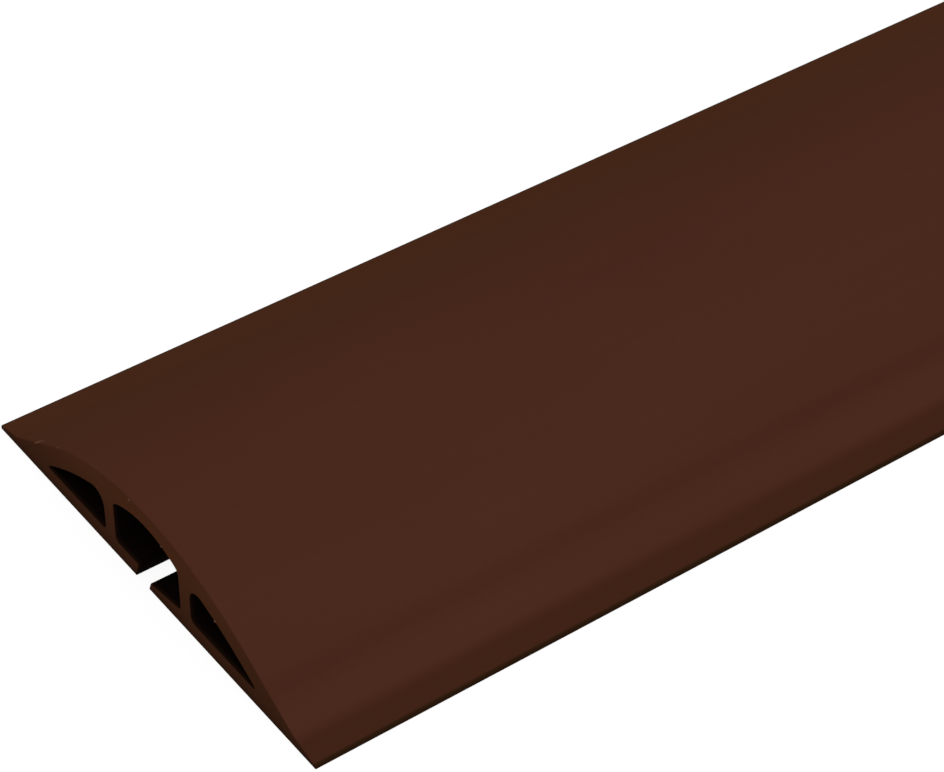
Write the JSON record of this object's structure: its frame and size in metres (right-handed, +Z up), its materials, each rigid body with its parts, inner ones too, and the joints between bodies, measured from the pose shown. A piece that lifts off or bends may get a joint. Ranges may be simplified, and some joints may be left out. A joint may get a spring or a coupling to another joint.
{
  "type": "floor cable cover",
  "caption": "Low domed floor cable cover: a soft extrusion with a middle cable channel that opens to the floor by a slit, and a closed cushioning hollow in each flank.",
  "frame": {"origin": "middle of the length and width, on the floor plane that the base lies on", "axes": "+X along the length away from the pictured cut end, +Y across the width towards the side that the slit is nearer to, +Z up from the floor"},
  "size_m": [0.9144, 0.0698, 0.0126],
  "materials": {
    "brown_soft_pvc": "matt dark brown flexible PVC as extruded, with square cut ends"
  },
  "bodies": {
    "root": {"cable_cover": "brown_soft_pvc"}
  },
  "joints": []
}
